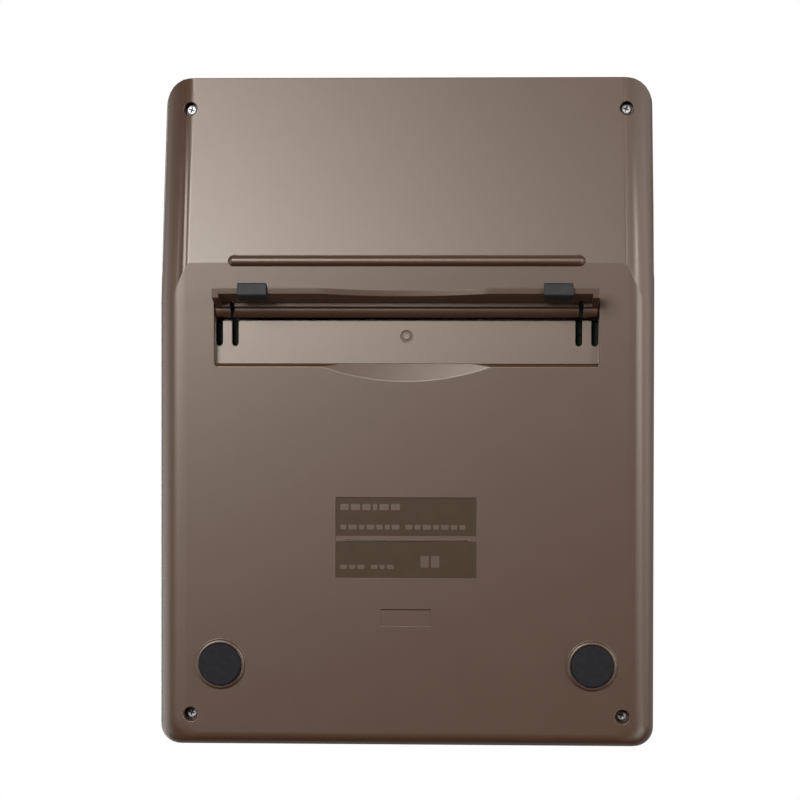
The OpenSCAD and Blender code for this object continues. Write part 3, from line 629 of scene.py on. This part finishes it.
for key, text in KEYS.items():
    material, slot_shade, ink = key_kind(key)
    place, span = cap_place(key)
    short = key.removeprefix("key_")
    cap = linked("cap_" + short, cap_mesh("cap_" + short, place, span), material, body_of[key])
    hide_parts(key)

    def cap_height(x, y, w=CAP_W - TOP_INSET, l=span - TOP_INSET):
        return dished(min(1, max(abs(x) / w, abs(y) / l) * 2))

    size = 9.4 if slot_shade == "key_light" else 8.6 if len(text) == 1 else 5.6
    bold = 0.06 if text in "+\u2212\u00d7\u00f7=." else 0.0
    inked("legend_" + short, text, size, place, cap_height, ink, body_of[key], bold)


# ---- Face plate, switches, display and solar cell ----

softened("face_plate", "face_plate_skin", face_metal, 0.12)
for name in ("decimal", "rounding"):
    softened(name + "_knob", name + "_knob_skin", dark_plastic, 0.15)

# Marks of the two selector switches, printed on the face plate beside the slots
MARK_SIZE, MARK_Y, PLATE = 2.7, 35.9, 0.5
for name, first, step, marks in (("decimal", -48, 2, "F 4 2 0 A"), ("rounding", -16, 4, "\u2191 5/4 \u2193")):
    for i, text in enumerate(marks.split()):
        place = OWN @ Matrix.Translation((first + step * i, MARK_Y, DECK + PLATE))
        inked(f"{name}_mark_{i}", text, MARK_SIZE, place, lambda x, y: 0, dark_ink, "root", bold=0.03)

# In the head: half width and ends of the display window; middle, half width and ends of the solar window; heights
# of the panes and of the masks behind them
WINDOW_X, WINDOW_LOW, WINDOW_HIGH = 63, 8, 38
SUN_X, SUN_HALF, SUN_LOW, SUN_HIGH = 40, 20, 42, 54
PANE_LOW, PANE_HIGH = -1.2, -0.1
MASK_LOW, MASK_HIGH = -1.32, -1.24


def pane(name, node, middle, half, low, high, material):
    """Window of the head: a clear slab in place of that node. It casts no shadow on what is behind it."""
    place = HEAD @ Matrix.Translation((middle, (low + high) / 2, 0))
    mesh = slabbed(name, rounded(2 * half - 0.2, high - low - 0.2, 1.9), PANE_LOW, PANE_HIGH, place, 0.2)
    piece = linked(name, mesh, material, "root")
    piece.visible_shadow = False
    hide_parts(node)


def mask(name, x, y, outer, inner):
    """Flat dark frame behind a pane, between two rounded rectangles given as (width, length, radius)."""
    bm = bmesh.new()
    loops = []
    for w, l, r in (outer, inner):
        for z in (MASK_LOW, MASK_HIGH):
            loops.append([bm.verts.new(HEAD @ Vector((px + x, py + y, z))) for px, py in rounded(w, l, r)])
    for a, b in ((0, 1), (1, 3), (3, 2), (2, 0)):
        banded(bm, loops[a], loops[b])
    return linked(name, stored(name, bm), dark_plastic, "root")


pane("display_pane", "display_window", 0, WINDOW_X, WINDOW_LOW, WINDOW_HIGH, window_clear)
pane("solar_pane", "solar_window", SUN_X, SUN_HALF, SUN_LOW, SUN_HIGH, solar_clear)
mask("display_mask", 0, (WINDOW_LOW + WINDOW_HIGH) / 2, (120.6, 24.6, 0.9), (105, 18.6, 1.2))
mask("solar_mask", SUN_X, (SUN_LOW + SUN_HIGH) / 2, (34.6, 6.6, 0.9), (33.6, 6.0, 0.8))

# The display: height of its glass; number, width, height, bar thickness, step and slant of its digits; where
# their row ends and stands; place and radius of a decimal point beside its digit
LCD_TOP = -3.1
DIGITS, DIGIT_W, DIGIT_H, BAR, DIGIT_STEP, SLANT = 12, 5.0, 10.6, 1.0, 8.3, 0.09
ROW_END, ROW_Y = 48.2, 17.4
POINT_X, POINT_R = 6.3, 0.55
SEGMENTS = {"0": "abcdef", "1": "bc", "2": "abged", "3": "abgcd", "4": "fgbc", "5": "afgcd", "6": "afgedc",
            "7": "abc", "8": "abcdefg", "9": "abcdfg"}


def segment(letter):
    """Corner points of one bar of a seven-bar digit that stands upright."""
    w, half = DIGIT_W, DIGIT_H / 2
    starts = {"a": (0, DIGIT_H, True), "g": (0, half, True), "d": (0, 0, True),
              "f": (0, half, False), "b": (w, half, False), "e": (0, 0, False), "c": (w, 0, False)}
    x, y, flat = starts[letter]
    gap, k = 0.12, BAR / 2
    end = (w if flat else half) - gap
    along = [(gap, 0), (gap + k, k), (end - k, k), (end, 0), (end - k, -k), (gap + k, -k)]
    return [(x + a, y + b) if flat else (x + b, y + a) for a, b in along]


def shown_number(text):
    """Outlines of the lit bars and of the unlit ones, across the whole row of digits."""
    lit, unlit = [], []
    digits = text.replace(".", "")
    point = len(digits) - text.index(".")
    for i in range(DIGITS):
        x0 = ROW_END - (i + 1) * DIGIT_STEP
        on = SEGMENTS[digits[-1 - i]] if i < len(digits) else ""
        for letter in "abcdefg":
            shape = [(x0 + x + SLANT * y, ROW_Y + y) for x, y in segment(letter)]
            (lit if letter in on else unlit).append(shape)
        turns = [math.pi / 6 * n for n in range(12)]
        dot = [(x0 + POINT_X + POINT_R * math.cos(a), ROW_Y + POINT_R * math.sin(a)) for a in turns]
        (lit if i == point else unlit).append(dot)
    return lit, unlit


def bars(name, shapes, material, z):
    """All the bars of one kind as one piece, just thick enough to be closed."""
    bm = bmesh.new()
    for shape in shapes:
        low = [bm.verts.new(HEAD @ Vector((x, y, z))) for x, y in shape]
        high = [bm.verts.new(HEAD @ Vector((x, y, z + 0.04))) for x, y in shape]
        bm.faces.new(high)
        bm.faces.new(list(reversed(low)))
        banded(bm, low, high)
    linked(name, stored(name, bm), material, "root")


lit, unlit = shown_number("1234567.89")
bars("lcd_digits", lit, lcd_ink, LCD_TOP)
bars("lcd_unlit_bars", unlit, lcd_ghost, LCD_TOP - 0.02)


# ---- Materials of the CAD parts that show as they are ----

PLAIN = {
    "lcd_panel": lcd_glass, "lcd_frame": dark_plastic, "display_ribbon": ribbon_film,
    "solar_cell": solar_paint, "solar_leads": wire_cover, "keypad_membrane": silicone,
    "main_board": board_paint, "chip_blob": epoxy, "board_capacitors": ceramic, "board_resistors": ceramic,
    "button_cell": cell_steel, "cell_holder": dark_plastic, "cell_contact_plus": contact_metal,
    "cell_contact_minus": contact_metal, "board_screws": screw_steel, "decimal_wiper": contact_metal,
    "rounding_wiper": contact_metal,
}
for node, material in PLAIN.items():
    nodes[node].data.materials.clear()
    nodes[node].data.materials.append(material)


# ---- Camera ----

# It looks up at the underside from that many mm away, almost square on, aimed close to the middle
yaw, pitch, roll, distance = math.radians(2.18), math.radians(-0.85), math.radians(0.09), 750
aim = Vector((1.85, 3.2, 0))
camera_data = bpy.data.cameras.new("camera")
camera_data.lens = 111.2
camera_data.sensor_width = 36
camera_data.clip_start, camera_data.clip_end = 0.01, 50
camera = bpy.data.objects.new("camera", camera_data)
bpy.context.scene.collection.objects.link(camera)
sight = Vector((math.sin(yaw) * math.cos(pitch), math.sin(pitch), math.cos(yaw) * math.cos(pitch)))
ahead = (lean @ sight).normalized()
right = ahead.cross(lean @ Vector((0, 1, 0))).normalized()
turn = Matrix((right, right.cross(ahead), -ahead)).transposed().to_4x4()
camera_place = Matrix.Translation(own(*(aim - distance * sight)))
camera.matrix_world = camera_place @ turn @ Matrix.Rotation(roll, 4, "Z")
bpy.context.scene.camera = camera


# ---- Studio ----

centre = own(0, 0, 8)


def lamp(name, place, size, power, colour=(1, 1, 1)):
    """Rectangular lamp of that size in metres and power in watts, aimed at the calculator."""
    data = bpy.data.lights.new(name, "AREA")
    data.shape = "RECTANGLE"
    data.size, data.size_y = size
    data.energy = power
    data.color = colour
    light = bpy.data.objects.new(name, data)
    bpy.context.scene.collection.objects.link(light)
    light.location = place
    light.rotation_euler = (centre - Vector(place)).to_track_quat("-Z", "Y").to_euler()


def below(tilt, heading, far=1300):
    """Point under the calculator, that many degrees off straight down, at that heading from its +X."""
    a, b = math.radians(tilt), math.radians(heading)
    return own(far * math.sin(a) * math.cos(b), far * math.sin(a) * math.sin(b), -far * math.cos(a))


lamp("key_below", below(30, 47), (0.6, 0.6), 19)
lamp("side_below", below(45.5, 162), (0.4, 0.4), 5.5)
lamp("low_side", below(84, 172), (0.8, 0.8), 4)
lamp("rim_left", below(94, 345), (1.2, 1.4), 9, (0.93, 0.95, 1))
lamp("corner_below", below(56, 215), (0.5, 0.5), 3)
lamp("slope_below", below(36, 150), (0.3, 0.3), 2.5)
lamp("key_above", (0.8, -0.5, 1.2), (0.8, 0.8), 11)
lamp("fill_above", (-0.9, 0.5, 1.1), (1.2, 1.2), 4)

# Bright overhead and dim below the horizon, but plain white where the camera sees it
world = bpy.data.worlds.new("studio")
bpy.context.scene.world = world
world.use_nodes = True
tree = world.node_tree
background = tree.nodes["Background"]
place = tree.nodes.new("ShaderNodeTexCoord")
split = tree.nodes.new("ShaderNodeSeparateXYZ")
height = tree.nodes.new("ShaderNodeValToRGB")
glow = height.color_ramp.elements
glow.new(0.7)
glow.new(0.9)
for point, (where, level) in zip(glow, ((0.42, 0.02), (0.67, 0.22), (0.72, 0.22), (0.86, 0.9))):
    point.position = where
    point.color = (level, level, level, 1)
half_up = tree.nodes.new("ShaderNodeMath")
half_up.operation = "MULTIPLY_ADD"
half_up.inputs[1].default_value = half_up.inputs[2].default_value = 0.5
background.inputs["Color"].default_value = (1, 1, 1, 1)
path = tree.nodes.new("ShaderNodeLightPath")
pick = tree.nodes.new("ShaderNodeMix")
pick.data_type = "FLOAT"
pick.inputs[3].default_value = 1.0
tree.links.new(place.outputs["Generated"], split.inputs[0])
tree.links.new(split.outputs["Z"], half_up.inputs[0])
tree.links.new(half_up.outputs["Value"], height.inputs["Fac"])
tree.links.new(path.outputs["Is Camera Ray"], pick.inputs[0])
tree.links.new(height.outputs["Color"], pick.inputs[2])
tree.links.new(pick.outputs[0], background.inputs["Strength"])

# A pale floor that is seen from above only, so that the camera under the desk looks through it
FLOOR_RADIUS, FLOOR_DROP = 6, 0.0002
bm = bmesh.new()
bmesh.ops.create_circle(bm, cap_ends=True, segments=96, radius=FLOOR_RADIUS)
floor_mesh = bpy.data.meshes.new("floor")
bm.to_mesh(floor_mesh)
bm.free()
floor = bpy.data.objects.new("floor", floor_mesh)
bpy.context.scene.collection.objects.link(floor)
floor_paint = Paint("floor_paint", Roughness=0.9)
floor_paint.colour(floor_paint.ramp(floor_paint.noise(40, 3), (0.3, 0.80), (0.7, 0.82)))
clear = floor_paint.add("BsdfTransparent")
side_seen = floor_paint.add("NewGeometry")
chosen = floor_paint.add("MixShader")
floor_paint.join(side_seen.outputs["Backfacing"], chosen.inputs[0])
floor_paint.join(floor_paint.shader.outputs[0], chosen.inputs[1])
floor_paint.join(clear.outputs[0], chosen.inputs[2])
floor_paint.join(chosen.outputs[0], floor_paint.tree.nodes["Material Output"].inputs["Surface"])
floor_mesh.materials.append(floor_paint.material)
floor.location.z = -FLOOR_DROP
floor.visible_diffuse = floor.visible_glossy = floor.visible_transmission = floor.visible_shadow = False

bpy.context.scene.view_settings.view_transform = "Standard"
